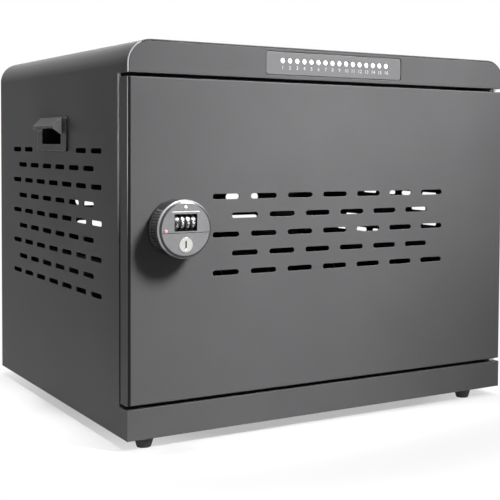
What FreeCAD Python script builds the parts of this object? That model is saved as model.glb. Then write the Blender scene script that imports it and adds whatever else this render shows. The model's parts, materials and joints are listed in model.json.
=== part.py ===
import FreeCAD, Part
import math
import os
import Sketcher
from FreeCAD import Placement, Rotation, Vector

# Device charging cabinet: steel shell, pivot-hung door with a combination lock, rack of sixteen bays.
# Working frame while drawing: x = 0 at the middle, y = 0 on the door's front plane, z = 0 under the base pan.
# Every piece is then seated by the same shift, so the finished cabinet stands on z = 0 on its feet.

doc = FreeCAD.newDocument("charging_cabinet")
sheet = doc.addObject("Spreadsheet::Sheet", "Sizes")

SIZES = [
    # shell
    ("cabinet_width", 433), ("cabinet_depth", 377), ("cabinet_height", 353), ("corner_radius", 22),
    ("steel", 1.2), ("seam", 0.4), ("header_height", 29.6), ("base_height", 27.4), ("ledge_depth", 40),
    ("jamb_flange", 18), ("rear_flange", 14), ("back_screw_radius", 1.6), ("back_screw_length", 9),
    ("back_screw_head_radius", 3.2), ("back_screw_head", 2), ("back_screw_margin", 20), ("recess_width", 0.8),
    # door and its pivots
    ("door_thick", 15.5), ("door_reveal", 3.5), ("jamb_gap", 3), ("door_lip", 10), ("pivot_inset", 6.5),
    ("pivot_front", 7), ("pin_radius", 2.5), ("pin_head_radius", 4.5), ("pin_head_height", 2),
    ("pin_reach", 8), ("bush_radius", 4.2), ("bush_length", 10), ("bush_collar_radius", 5.2),
    ("bush_collar_height", 1), ("running_gap", 0.05),
    # vent slots
    ("slot_width", 5), ("slot_bridge", 12.5), ("lock_clearance", 11.25), ("door_row_drop", 106.2),
    ("door_row_pitch", 17.5), ("side_vent_front", 60.5), ("side_vent_rear", 49), ("side_row_drop", 32.9),
    ("side_row_pitch", 16.8), ("back_slot_length", 49), ("back_slot_width", 12), ("back_slot_inset", 113.8),
    ("back_row_drop", 161), ("back_row_pitch", 30),
    # grab handles
    ("handle_width", 88), ("handle_height", 34), ("handle_drop", 65.7), ("handle_plate", 2),
    ("handle_corner", 3), ("hood_margin", 13), ("hood_reach", 11), ("hood_drop", 11.2), ("hood_lip", 2.5),
    ("cheek_fall", 6), ("cup_depth", 24), ("cup_wall", 2), ("cup_border", 5),
    # feet
    ("foot_height", 9.5), ("foot_top_radius", 8.4), ("foot_bottom_radius", 6.4), ("foot_front", 12.5),
    ("foot_left", 21), ("foot_right", 40.5), ("foot_rear", 47), ("foot_rim", 3), ("foot_recess", 4.5),
    ("foot_wall", 1.8), ("foot_screw_radius", 2), ("foot_screw_reach", 7), ("foot_screw_head", 2.7),
    ("foot_screw_clearance", 0.6),
    # lamp strip
    ("lens_width", 156.4), ("lens_below", 4), ("lens_above", 4.5), ("lens_corner", 2.5), ("lens_gap", 0.7),
    ("lens_lip", 4), ("lens_flange", 1), ("lens_sink", 0.2), ("lens_boss_radius", 2.5),
    ("lens_boss_inset", 6),
    ("lamp_radius", 2.5), ("lamp_margin", 18.1), ("lamp_rise", 2.6), ("lamp_board_back", 8),
    ("lamp_board_below", 8), ("lamp_board_above", 7),
    # charging module
    ("module_side_gap", 28.8), ("module_front", 70), ("module_depth", 160), ("module_height", 56),
    ("socket_margin", 27.5), ("socket_width", 13.2), ("socket_height", 5.8), ("socket_depth", 14),
    ("socket_rise", 11), ("socket_wall", 0.7), ("socket_proud", 0.6), ("socket_mouth", 9),
    ("tongue_inset", 0.6), ("tongue_thick", 1.4), ("board_thick", 1.6), ("board_overhang", 14),
    ("supply_side_gap", 70), ("supply_width", 98), ("supply_height", 40), ("supply_gap", 16),
    ("terminal_length", 18), ("terminal_drop", 8), ("supply_lead_gap", 55),
    # mains inlet
    ("inlet_inset", 75), ("inlet_drop", 36), ("inlet_width", 27), ("inlet_height", 20), ("inlet_depth", 25),
    ("inlet_flange", 2.5), ("inlet_rim", 3), ("inlet_wall", 1.6), ("inlet_bevel", 5), ("inlet_floor", 5),
    ("blade_pitch", 7), ("blade_width", 2), ("blade_height", 4), ("blade_drop", 1.5),
    ("blade_earth_rise", 2.5), ("blade_length", 15), ("lead_radius", 3), ("lead_bend", 22),
    ("lead_clearance", 1.5), ("lamp_lead_radius", 1.5), ("lamp_lead_bend", 8), ("lamp_lead_rise", 13.2),
    # rack
    ("rack_level", 15), ("rack_front", 46), ("rack_rear_gap", 40), ("rack_side_gap", 7.8),
    ("divider_height", 130), ("divider_thick", 1.6), ("divider_tab", 30), ("divider_slope", 45),
    ("divider_inset", 4), ("tab_inset", 40),
    # lock
    ("lock_side", 45.5), ("lock_rise", 11.4), ("knob_radius", 26), ("knob_wall", 3.1),
    ("rosette_thick", 3), ("knob_gap", 0.3), ("sleeve_radius", 10), ("sleeve_length", 16),
    ("spindle_radius", 6), ("cam_back", 1.4), ("cam_thick", 3), ("cam_wall_gap", 7.3), ("cam_width", 16),
    ("cam_corner", 4), ("cam_square", 8), ("cam_screw_radius", 6), ("cam_screw_head", 3), ("nut_flats", 27),
    ("nut_height", 5), ("wheel_radius", 7), ("wheel_pitch", 5.2), ("wheel_gap", 0.5), ("wheel_rise", 6),
    ("wheel_room", 0.5), ("wheel_sink", 0.6), ("axle_radius", 1.5), ("axle_seat", 3), ("key_radius", 6.4),
    ("key_rim", 6), ("key_length", 14), ("key_proud", 0.4), ("keyway_width", 1.4), ("keyway_length", 7.2),
    ("keyway_depth", 10), ("grip_depth", 0.8), ("grip_width", 2.8), ("grip_front", 5), ("divide_drop", 3),
    ("divide_width", 0.7), ("divide_depth", 0.5), ("small_bevel", 1),
]


class Size:
    # A length that carries its number and the expression that ties it to the sheet.
    def __init__(self, value, text):
        self.value = value
        self.text = text

    def __add__(self, other):
        return Size(self.value + number(other), "(%s + %s)" % (self.text, words(other)))

    def __sub__(self, other):
        return Size(self.value - number(other), "(%s - %s)" % (self.text, words(other)))

    def __mul__(self, other):
        return Size(self.value * number(other), "(%s * %s)" % (self.text, words(other)))

    def __truediv__(self, other):
        return Size(self.value / number(other), "(%s / %s)" % (self.text, words(other)))

    def __neg__(self):
        return Size(-self.value, "(0 - %s)" % self.text)

    def __radd__(self, other):
        return Size(number(other) + self.value, "(%s + %s)" % (words(other), self.text))

    def __rsub__(self, other):
        return Size(number(other) - self.value, "(%s - %s)" % (words(other), self.text))

    __rmul__ = __mul__


def number(value):
    return value.value if isinstance(value, Size) else float(value)


def words(value):
    return value.text if isinstance(value, Size) else "%.6f" % value


class Sizes:
    pass


mm = Sizes()
for row, (alias, value) in enumerate(SIZES, 1):
    sheet.set("A%d" % row, alias)
    sheet.set("B%d" % row, str(value))
    sheet.setAlias("B%d" % row, alias)
    setattr(mm, alias, Size(float(value), "Sizes." + alias))
doc.recompute()

half_width = mm.cabinet_width / 2
inner_half = half_width - mm.steel
header_foot = mm.cabinet_height - mm.header_height
jamb_front = mm.door_thick + mm.jamb_gap
door_foot = mm.base_height + mm.door_reveal
door_head = header_foot - mm.door_reveal
pivot_x = half_width - mm.pivot_inset
lock_x = mm.lock_side - half_width
lock_level = (door_foot + door_head) / 2 + mm.lock_rise
module_foot = mm.cabinet_height - mm.steel - mm.module_height
module_floor = module_foot + mm.steel
inlet_side = half_width - mm.inlet_inset
inlet_level = mm.cabinet_height - mm.inlet_drop

# seven slots fill each long row of vents, with a bridge of steel between neighbours
door_vent_span = mm.cabinet_width - (mm.lock_side + mm.knob_radius + mm.lock_clearance) * 2
door_slot_pitch = (door_vent_span + mm.slot_bridge) / 7
side_vent_span = mm.cabinet_depth - mm.side_vent_front - mm.side_vent_rear
side_slot_pitch = (side_vent_span + mm.slot_bridge) / 7
# the right side is the left one turned round, so its vents and handle sit further forward
left_middle = mm.side_vent_front + side_vent_span / 2
SIDE_MIDDLES = [(-1, left_middle), (1, mm.cabinet_depth - left_middle)]
handle_top = mm.cabinet_height - mm.handle_drop
side_row_top = handle_top - mm.side_row_drop

# the knob stands as far out as its wheels need
chamber_depth = (mm.wheel_radius + mm.wheel_room) * 2 + mm.wheel_sink
knob_standoff = mm.rosette_thick + mm.knob_gap + mm.knob_wall + chamber_depth

# The box that encloses the cabinet runs from the knob's face to the inlet's flange.
seat_y = (knob_standoff - mm.cabinet_depth - mm.inlet_flange) / 2
seat_z = mm.foot_height

PARTS = []


def seat(piece, x=0.0, y=0.0, z=0.0):
    for axis, value in zip("xyz", (x, y + seat_y, z + seat_z)):
        piece.setExpression("Placement.Base." + axis, words(value))


def new_body(label, x=0.0, y=0.0, z=0.0):
    body = doc.addObject("PartDesign::Body", label)
    body.Label = label
    body.AllowCompound = True
    seat(body, x, y, z)
    PARTS.append(body)
    return body


def origin_item(body, role):
    return [item for item in body.Origin.OriginFeatures if item.Role == role][0]


def new_sketch(body, plane, level=0.0):
    # level is the plane's x, y or z in the body's frame
    sketch = body.newObject("Sketcher::SketchObject", body.Label + "_" + plane.lower() + "_sketch")
    sketch.AttachmentSupport = [(origin_item(body, plane + "_Plane"), "")]
    sketch.MapMode = "FlatFace"
    offset = -1 * level if plane == "XZ" else level
    if isinstance(offset, Size):
        sketch.setExpression("AttachmentOffset.Base.z", offset.text)
    else:
        sketch.AttachmentOffset = Placement(Vector(0, 0, offset), Rotation())
    return sketch


def hold(sketch, kind, value, *ends):
    index = sketch.addConstraint(Sketcher.Constraint(kind, *ends, number(value)))
    if isinstance(value, Size):
        sketch.setExpression("Constraints[%d]" % index, value.text)


def pin_point(sketch, geo, end, a, b):
    for kind, value, axis in (("DistanceX", a, -2), ("DistanceY", b, -1)):
        if not isinstance(value, Size) and value == 0:
            sketch.addConstraint(Sketcher.Constraint("PointOnObject", geo, end, axis))
        else:
            hold(sketch, kind, value, -1, 1, geo, end)


def polygon(sketch, points):
    corners = [Vector(number(a), number(b), 0) for a, b in points]
    count = len(corners)
    first = sketch.GeometryCount
    for i in range(count):
        sketch.addGeometry(Part.LineSegment(corners[i], corners[(i + 1) % count]), False)
    for i in range(count):
        sketch.addConstraint(Sketcher.Constraint("Coincident", first + i, 2, first + (i + 1) % count, 1))
    for i, (a, b) in enumerate(points):
        pin_point(sketch, first + i, 1, a, b)


def rectangle(sketch, a0, b0, a1, b1):
    polygon(sketch, [(a0, b0), (a1, b0), (a1, b1), (a0, b1)])


def circle(sketch, a, b, radius):
    first = sketch.GeometryCount
    middle = Vector(number(a), number(b), 0)
    sketch.addGeometry(Part.Circle(middle, Vector(0, 0, 1), number(radius)), False)
    pin_point(sketch, first, 3, a, b)
    hold(sketch, "Radius", radius, first)


def slot(sketch, a, b, length, width):
    # round-ended slot lying along the sketch's first axis
    first = sketch.GeometryCount
    radius = width / 2
    reach = (length - width) / 2
    x0, x1, y, r = number(a - reach), number(a + reach), number(b), number(radius)
    up = Vector(0, 0, 1)
    quarter = math.pi / 2
    sketch.addGeometry(Part.ArcOfCircle(Part.Circle(Vector(x0, y, 0), up, r), quarter, 3 * quarter), False)
    sketch.addGeometry(Part.LineSegment(Vector(x0, y - r, 0), Vector(x1, y - r, 0)), False)
    sketch.addGeometry(Part.ArcOfCircle(Part.Circle(Vector(x1, y, 0), up, r), -quarter, quarter), False)
    sketch.addGeometry(Part.LineSegment(Vector(x1, y + r, 0), Vector(x0, y + r, 0)), False)
    for i in range(4):
        sketch.addConstraint(Sketcher.Constraint("Tangent", first + i, 2, first + (i + 1) % 4, 1))
    pin_point(sketch, first, 3, a - reach, b)
    pin_point(sketch, first + 2, 3, a + reach, b)
    hold(sketch, "Radius", radius, first)
    hold(sketch, "Radius", radius, first + 2)


def elbow(sketch, start, end, radius):
    # open path: first run along the second axis, a bend, then a run along the first axis
    (a0, b0), (a1, b1) = start, end
    x0, y0, x1, y1, r = number(a0), number(b0), number(a1), number(b1), number(radius)
    side = 1 if x1 > x0 else -1
    rise = 1 if y1 > y0 else -1
    turn_in = Vector(x0, y1 - rise * r, 0)
    turn_out = Vector(x0 + side * r, y1, 0)
    half = r * math.sqrt(0.5)
    middle = Vector(x0 + side * (r - half), y1 - rise * (r - half), 0)
    sketch.addGeometry(Part.LineSegment(Vector(x0, y0, 0), turn_in), False)
    bend = Part.Arc(turn_in, middle, turn_out)
    sketch.addGeometry(bend, False)
    sketch.addGeometry(Part.LineSegment(turn_out, Vector(x1, y1, 0)), False)
    clockwise = side * rise > 0
    entry, leave = (2, 1) if clockwise else (1, 2)
    sketch.addConstraint(Sketcher.Constraint("Tangent", 0, 2, 1, entry))
    sketch.addConstraint(Sketcher.Constraint("Tangent", 1, leave, 2, 1))
    sketch.addConstraint(Sketcher.Constraint("Vertical", 0))
    sketch.addConstraint(Sketcher.Constraint("Horizontal", 2))
    pin_point(sketch, 0, 1, a0, b0)
    pin_point(sketch, 2, 2, a1, b1)
    hold(sketch, "Radius", radius, 1)


def extrude(body, kind, sketch, length, toward):
    # toward is +1 or -1 along the axis the sketch faces, 0 for both sides
    feature = body.newObject("PartDesign::" + kind, body.Label + "_" + kind.lower())
    feature.Profile = sketch
    feature.setExpression("Length", words(length))
    facing = -1 if sketch.AttachmentSupport[0][0].Role == "XZ_Plane" else 1
    default = facing if kind == "Pad" else -facing
    if toward == 0:
        feature.SideType = "Symmetric"
    else:
        feature.Reversed = toward != default
    sketch.Visibility = False
    doc.recompute()
    return feature


def spin(body, sketch, axis):
    feature = body.newObject("PartDesign::Revolution", body.Label + "_turned")
    feature.Profile = sketch
    feature.ReferenceAxis = (sketch, [axis])
    feature.Angle = 360
    doc.recompute()
    return feature


def repeat(body, features, runs):
    # runs: (axis of the body, total length, count), one or two of them
    steps = []
    for axis, length, count in runs:
        step = doc.addObject("PartDesign::LinearPattern", body.Label + "_run")
        step.Direction = (origin_item(body, axis + "_Axis"), [""])
        step.setExpression("Length", words(length))
        step.Occurrences = count
        steps.append(step)
    many = body.newObject("PartDesign::MultiTransform", body.Label + "_repeat")
    many.Originals = features
    many.Transformations = steps
    body.Tip = many
    doc.recompute()
    return many


def fan(body, feature, axis, angle, count, reverse=False):
    many = body.newObject("PartDesign::PolarPattern", body.Label + "_fan")
    many.Originals = [feature]
    many.Axis = (origin_item(body, axis + "_Axis"), [""])
    many.Angle = angle
    many.Occurrences = count
    many.Reversed = reverse
    body.Tip = many
    doc.recompute()
    return many


def edges_along(feature, axis, test):
    names = []
    for i, edge in enumerate(feature.Shape.Edges, 1):
        ends = [vertex.Point for vertex in edge.Vertexes]
        if len(ends) != 2 or edge.Curve.TypeId != "Part::GeomLine":
            continue
        run = ends[1] - ends[0]
        if abs(abs(run.normalize().dot(axis)) - 1) < 1e-6 and test(edge.CenterOfMass):
            names.append("Edge%d" % i)
    return names


def soften(body, feature, names, radius, kind="Fillet"):
    rounded = body.newObject("PartDesign::" + kind, body.Label + "_" + kind.lower())
    rounded.Base = (feature, names)
    rounded.setExpression("Radius" if kind == "Fillet" else "Size", words(radius))
    body.Tip = rounded
    doc.recompute()
    return rounded


X, Y, Z = Vector(1, 0, 0), Vector(0, 1, 0), Vector(0, 0, 1)


def near(a, b):
    return abs(a - number(b)) < 0.01


def vent_rows(body, plane, level, depth, toward, middle, step, top, row_pitch, columns):
    # staggered rows: long rows of 7 and short rows of 6, cut through one or both walls
    axis = "Y" if plane == "YZ" else "X"
    for count, start, rows in columns:
        sketch = new_sketch(body, plane, level)
        first = middle - step * ((count - 1) / 2)
        lowest = top - row_pitch * (start + 2 * (rows - 1))
        slot(sketch, first, lowest, step - mm.slot_bridge, mm.slot_width)
        cut = extrude(body, "Pocket", sketch, depth, toward)
        repeat(body, [cut], [(axis, step * (count - 1), count), ("Z", row_pitch * (2 * (rows - 1)), rows)])


def screw_outline(sketch, shank_radius, shank_end, seat_level, head_radius, head_end):
    # half outline of a pan-head screw, turned about the sketch's second axis
    crown = head_end - (head_end - seat_level) * 0.35
    polygon(sketch, [(0.0, shank_end), (shank_radius, shank_end), (shank_radius, seat_level),
                     (head_radius, seat_level), (head_radius, crown), (head_radius * 0.7, head_end),
                     (0.0, head_end)])


def cross_recess(body, plane, level, head_radius, head, toward):
    # cross for the driver, half as deep as the head
    sketch = new_sketch(body, plane, level)
    arm, tip = mm.recess_width / 2, head_radius * 0.55
    polygon(sketch, [(tip, -1 * arm), (tip, arm), (arm, arm), (arm, tip), (-1 * arm, tip), (-1 * arm, arm),
                     (-1 * tip, arm), (-1 * tip, -1 * arm), (-1 * arm, -1 * arm), (-1 * arm, -1 * tip),
                     (arm, -1 * tip), (arm, -1 * arm)])
    return extrude(body, "Pocket", sketch, head / 2, toward)


def rounded_plate(body, level, foot, head, side, radius, toward=1):
    # upright plate whose two top corners follow the shell's bend
    sketch = new_sketch(body, "XZ", level)
    rectangle(sketch, -1 * side, foot, side, head)
    plate = extrude(body, "Pad", sketch, mm.steel, toward)
    names = edges_along(plate, Y, lambda p: near(p.z, head) and (near(p.x, side) or near(-p.x, side)))
    return soften(body, plate, names, radius)


# shell: left side, top and right side in one folded sheet
wrap = new_body("outer_wrap")
sketch = new_sketch(wrap, "XZ")
rectangle(sketch, -1 * half_width, 0.0, half_width, mm.cabinet_height)
extrude(wrap, "Pad", sketch, mm.cabinet_depth, 1)
sketch = new_sketch(wrap, "XZ")
rectangle(sketch, -1 * inner_half, -1 * mm.steel, inner_half, mm.cabinet_height - mm.steel)
shell = extrude(wrap, "Pocket", sketch, mm.cabinet_depth, 1)
# bend the inner corners first, then the outer ones about the same centres
names = edges_along(shell, Y, lambda p: near(p.z, mm.cabinet_height - mm.steel))
shell = soften(wrap, shell, names, mm.corner_radius - mm.steel)
names = edges_along(shell, Y, lambda p: near(p.z, mm.cabinet_height))
shell = soften(wrap, shell, names, mm.corner_radius)
# the sides step back to let the door lie over them
sketch = new_sketch(wrap, "YZ")
rectangle(sketch, -1 * mm.steel, mm.base_height, jamb_front, header_foot)
extrude(wrap, "Pocket", sketch, mm.cabinet_width * 1.2, 0)
# jamb flanges folded inwards behind the door
sketch = new_sketch(wrap, "XZ", jamb_front)
for side in (-1, 1):
    rectangle(sketch, side * half_width, mm.base_height,
              side * (inner_half - mm.jamb_flange), header_foot)
extrude(wrap, "Pad", sketch, mm.steel, 1)
# rear flanges that carry the back panel, stopped short of the rounded corners
sketch = new_sketch(wrap, "XZ", mm.cabinet_depth - mm.steel * 2)
flange_head = mm.cabinet_height - mm.corner_radius
for side in (-1, 1):
    rectangle(sketch, side * half_width, mm.base_height, side * (inner_half - mm.rear_flange), flange_head)
rear_top = half_width - mm.corner_radius
rectangle(sketch, -1 * rear_top, mm.cabinet_height - mm.steel - mm.rear_flange, rear_top, mm.cabinet_height)
extrude(wrap, "Pad", sketch, mm.steel, 1)
# vents: eight full rows, and a top row that is left open behind the handle
# and an opening for the finger cup of each handle
hood_width = mm.handle_width - mm.hood_margin * 2
cup_foot = handle_top - mm.handle_height + mm.cup_border
cup_head = handle_top - mm.handle_plate
for side, middle in SIDE_MIDDLES:
    vent_rows(wrap, "YZ", 0.0, half_width, side, middle, side_slot_pitch, side_row_top, mm.side_row_pitch,
              [(7, 2, 4), (6, 1, 4)])
    sketch = new_sketch(wrap, "YZ")
    for step in (-3, -2):
        slot(sketch, middle + side_slot_pitch * step, side_row_top, side_slot_pitch - mm.slot_bridge,
             mm.slot_width)
    ends = extrude(wrap, "Pocket", sketch, half_width, side)
    repeat(wrap, [ends], [("Y", side_slot_pitch * 5, 2)])
    sketch = new_sketch(wrap, "YZ")
    rectangle(sketch, middle - hood_width / 2, cup_foot, middle + hood_width / 2, cup_head)
    extrude(wrap, "Pocket", sketch, half_width, side)

# header: face between the shell's folds, ledge below it for the upper hinge pin
header = new_body("header_panel")
face_side = inner_half - mm.seam
face_head = mm.cabinet_height - mm.steel - mm.seam
rounded_plate(header, 0.0, header_foot, face_head, face_side, mm.corner_radius - mm.steel - mm.seam)
sketch = new_sketch(header, "XY", header_foot)
rectangle(sketch, -1 * inner_half, mm.seam, inner_half, mm.ledge_depth)
extrude(header, "Pad", sketch, mm.steel, 1)
sketch = new_sketch(header, "XZ")
lens_foot = header_foot + mm.lens_below
lens_head = mm.cabinet_height - mm.lens_above
lens_side = mm.lens_width / 2
window_side = lens_side + mm.lens_gap
rectangle(sketch, -1 * window_side, lens_foot - mm.lens_gap, window_side, lens_head + mm.lens_gap)
window = extrude(header, "Pocket", sketch, mm.steel, 1)
names = edges_along(window, Y, lambda p: near(abs(p.x), window_side))
soften(header, window, names, mm.lens_corner + mm.lens_gap)
sketch = new_sketch(header, "XY", header_foot)
circle(sketch, pivot_x, mm.pivot_front, mm.pin_radius)
extrude(header, "Pocket", sketch, mm.steel, 1)

# base pan: floor, front strip and ledge from one fold line drawing
base = new_body("base_pan")
sketch = new_sketch(base, "YZ")
t = mm.steel
rear_y = mm.cabinet_depth - t * 2
polygon(sketch, [(0.0, 0.0), (rear_y, 0.0), (rear_y, t), (t, t), (t, mm.base_height - t),
                 (mm.ledge_depth, mm.base_height - t), (mm.ledge_depth, mm.base_height),
                 (0.0, mm.base_height)])
extrude(base, "Pad", sketch, inner_half * 2, 0)
sketch = new_sketch(base, "XY", mm.base_height)
circle(sketch, pivot_x, mm.pivot_front, mm.pin_radius)
extrude(base, "Pocket", sketch, mm.steel, -1)
foot_left_x = mm.foot_left - half_width
foot_right_x = half_width - mm.foot_right
foot_rear_y = mm.cabinet_depth - mm.foot_rear
sketch = new_sketch(base, "XY")
for x in (foot_left_x, foot_right_x):
    for y in (mm.foot_front, foot_rear_y):
        circle(sketch, x, y, mm.foot_screw_radius)
extrude(base, "Pocket", sketch, mm.steel, 1)

# back panel, screwed on to the rear flanges
back = new_body("back_panel")
back_head = mm.cabinet_height - mm.steel - mm.seam
back_level = mm.cabinet_depth - mm.steel
rounded_plate(back, back_level, mm.seam, back_head, face_side, mm.corner_radius - mm.steel - mm.seam)
# two rows of wide vents, where daylight shows through the vents of the front
back_slot_x = half_width - mm.back_slot_inset
sketch = new_sketch(back, "XZ", back_level)
slot(sketch, -1 * back_slot_x, mm.cabinet_height - mm.back_row_drop - mm.back_row_pitch, mm.back_slot_length,
     mm.back_slot_width)
vent = extrude(back, "Pocket", sketch, mm.steel, 1)
repeat(back, [vent], [("X", back_slot_x * 2, 2), ("Z", mm.back_row_pitch, 2)])
sketch = new_sketch(back, "XZ", back_level)
rectangle(sketch, inlet_side - mm.inlet_width / 2, inlet_level - mm.inlet_height / 2,
          inlet_side + mm.inlet_width / 2, inlet_level + mm.inlet_height / 2)
extrude(back, "Pocket", sketch, mm.steel, 1)
screw_x = inner_half - mm.rear_flange / 2
screw_foot = mm.base_height + mm.back_screw_margin
screw_rise = mm.cabinet_height - mm.corner_radius - screw_foot - mm.back_screw_margin
sketch = new_sketch(back, "XZ", back_level)
circle(sketch, -1 * screw_x, screw_foot, mm.back_screw_radius)
holes = extrude(back, "Pocket", sketch, mm.steel, 1)
repeat(back, [holes], [("X", screw_x * 2, 2), ("Z", screw_rise, 3)])
# matching holes in the shell's flanges
sketch = new_sketch(wrap, "XZ", back_level - mm.steel)
circle(sketch, -1 * screw_x, screw_foot, mm.back_screw_radius)
holes = extrude(wrap, "Pocket", sketch, mm.steel, 1)
repeat(wrap, [holes], [("X", screw_x * 2, 2), ("Z", screw_rise, 3)])

screws = new_body("back_screws", -1 * screw_x, mm.cabinet_depth, screw_foot)
sketch = new_sketch(screws, "XY")
screw_outline(sketch, mm.back_screw_radius, -1 * mm.back_screw_length, 0.0, mm.back_screw_head_radius,
              mm.back_screw_head)
turned = spin(screws, sketch, "V_Axis")
cross = cross_recess(screws, "XZ", mm.back_screw_head, mm.back_screw_head_radius, mm.back_screw_head, -1)
repeat(screws, [turned, cross], [("X", screw_x * 2, 2), ("Z", screw_rise, 3)])

# feet: tapered rubber, each held by a screw from below
FEET = [("foot_front_left", foot_left_x, mm.foot_front), ("foot_front_right", foot_right_x, mm.foot_front),
        ("foot_rear_left", foot_left_x, foot_rear_y), ("foot_rear_right", foot_right_x, foot_rear_y)]
recess_radius = mm.foot_bottom_radius - mm.foot_wall
recess_level = mm.foot_recess - mm.foot_height
for label, x, y in FEET:
    foot = new_body(label, x, y)
    sketch = new_sketch(foot, "XZ")
    polygon(sketch, [(mm.foot_screw_radius, 0.0), (mm.foot_top_radius, 0.0),
                     (mm.foot_top_radius, -1 * mm.foot_rim), (mm.foot_bottom_radius, -1 * mm.foot_height),
                     (recess_radius, -1 * mm.foot_height),
                     (recess_radius, recess_level), (mm.foot_screw_radius, recess_level)])
    spin(foot, sketch, "V_Axis")
foot_screws = new_body("foot_screws", foot_left_x, mm.foot_front)
sketch = new_sketch(foot_screws, "XZ")
head_radius = recess_radius - mm.foot_screw_clearance
head_level = recess_level - mm.foot_screw_head
screw_outline(sketch, mm.foot_screw_radius, mm.foot_screw_reach, recess_level, head_radius, head_level)
turned = spin(foot_screws, sketch, "V_Axis")
cross = cross_recess(foot_screws, "XY", head_level, head_radius, mm.foot_screw_head, 1)
repeat(foot_screws, [turned, cross],
       [("X", foot_right_x - foot_left_x, 2), ("Y", foot_rear_y - mm.foot_front, 2)])


def grab_handle(label, side, middle):
    # moulded plate outside the wall, hood over the upper half, finger cup behind it
    handle = new_body(label, side * half_width, middle, handle_top)
    plate = mm.handle_plate
    sketch = new_sketch(handle, "YZ")
    rectangle(sketch, -1 * mm.handle_width / 2, -1 * mm.handle_height, mm.handle_width / 2, 0.0)
    made = extrude(handle, "Pad", sketch, plate, side)
    names = edges_along(made, X, lambda p: True)
    soften(handle, made, names, mm.handle_corner)
    sketch = new_sketch(handle, "YZ")
    cup_low = mm.cup_border - mm.handle_height
    rectangle(sketch, -1 * hood_width / 2, cup_low, hood_width / 2, -1 * plate)
    extrude(handle, "Pad", sketch, mm.cup_depth, -side)
    sketch = new_sketch(handle, "XZ")
    lip = -1 * mm.hood_drop
    cheek = lip - mm.cheek_fall
    polygon(sketch, [(side * (plate / 2), 0.0), (side * plate, 0.0),
                     (side * mm.hood_reach, lip + mm.hood_lip), (side * mm.hood_reach, lip),
                     (side * plate, cheek), (side * (plate / 2), cheek)])
    extrude(handle, "Pad", sketch, hood_width, 0)
    # finger space: under the lip, up inside the hood and back into the cup
    sketch = new_sketch(handle, "XZ")
    deep = mm.cup_wall - mm.cup_depth
    foot = cup_low + mm.cup_wall
    head = -1 * (plate + mm.cup_wall)
    out = mm.hood_reach + plate
    polygon(sketch, [(side * deep, foot), (side * out, foot), (side * out, lip),
                     (side * (mm.hood_reach - mm.cup_wall), lip), (side * (plate * 0.3), head),
                     (side * deep, head)])
    extrude(handle, "Pocket", sketch, hood_width - mm.cup_wall * 2, 0)
    return handle


for label, (side, middle) in zip(("handle_left", "handle_right"), SIDE_MIDDLES):
    grab_handle(label, side, middle)

# lamp strip: lens plate let into the header, lamps on a board behind it
lens = new_body("indicator_panel")
sketch = new_sketch(lens, "XZ", mm.steel)
lip = mm.lens_lip
edge = mm.lens_flange
rectangle(sketch, -1 * (lens_side + lip), lens_foot - edge, lens_side + lip, lens_head + edge)
extrude(lens, "Pad", sketch, edge, 1)
sketch = new_sketch(lens, "XZ", mm.lens_sink)
rectangle(sketch, -1 * lens_side, lens_foot, lens_side, lens_head)
plate = extrude(lens, "Pad", sketch, mm.steel, 1)
names = edges_along(plate, Y, lambda p: near(abs(p.x), lens_side))
soften(lens, plate, names, mm.lens_corner)
lamp_level = (lens_foot + lens_head) / 2 + mm.lamp_rise
sketch = new_sketch(lens, "XZ", mm.steel + edge)
for side in (-1, 1):
    circle(sketch, side * (lens_side - mm.lens_boss_inset), lamp_level, mm.lens_boss_radius)
extrude(lens, "Pad", sketch, mm.lamp_board_back - mm.steel - edge, 1)
first_lamp = mm.lamp_margin - lens_side
lamp_span = mm.lens_width - mm.lamp_margin * 2
sketch = new_sketch(lens, "XZ")
circle(sketch, first_lamp, lamp_level, mm.lamp_radius)
hole = extrude(lens, "Pocket", sketch, mm.steel + edge * 2, 1)
repeat(lens, [hole], [("X", lamp_span, 16)])

lamps = new_body("indicator_lamps", first_lamp, mm.lamp_board_back, lamp_level)
sketch = new_sketch(lamps, "XY")
dome = mm.lamp_radius * 0.3
tip = mm.lens_sink / 2 - mm.lamp_board_back
polygon(sketch, [(0.0, 0.0), (mm.lamp_radius, 0.0), (mm.lamp_radius, tip + dome),
                 (mm.lamp_radius - dome, tip), (0.0, tip)])
turned = spin(lamps, sketch, "V_Axis")
repeat(lamps, [turned], [("X", lamp_span, 16)])

lamp_board = new_body("indicator_board")
sketch = new_sketch(lamp_board, "XZ", mm.lamp_board_back)
rectangle(sketch, -1 * lens_side, lamp_level - mm.lamp_board_below, lens_side,
          lamp_level + mm.lamp_board_above)
extrude(lamp_board, "Pad", sketch, mm.board_thick, 1)

# charging module: open-topped housing closed by the cabinet's top
module = new_body("charger_housing")
module_side = inner_half - mm.module_side_gap
module_rear = mm.module_front + mm.module_depth
sketch = new_sketch(module, "XY", module_foot)
rectangle(sketch, -1 * module_side, mm.module_front, module_side, module_rear)
extrude(module, "Pad", sketch, mm.module_height, 1)
sketch = new_sketch(module, "XY", module_floor)
rectangle(sketch, mm.steel - module_side, mm.module_front + mm.steel, module_side - mm.steel,
          module_rear - mm.steel)
extrude(module, "Pocket", sketch, mm.module_height, 1)
first_socket = mm.socket_margin - module_side
socket_span = (module_side - mm.socket_margin) * 2
socket_level = module_floor + mm.socket_rise
socket_half = mm.socket_width / 2
sketch = new_sketch(module, "XZ", mm.module_front)
rectangle(sketch, first_socket - socket_half, socket_level - mm.socket_height / 2,
          first_socket + socket_half, socket_level + mm.socket_height / 2)
hole = extrude(module, "Pocket", sketch, mm.steel, 1)
repeat(module, [hole], [("X", socket_span, 16)])
lamp_lead_x = lamp_span / 4
sketch = new_sketch(module, "XZ", mm.module_front)
circle(sketch, lamp_lead_x, lamp_level, mm.lamp_lead_radius + mm.lead_clearance)
extrude(module, "Pocket", sketch, mm.steel, 1)
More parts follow.
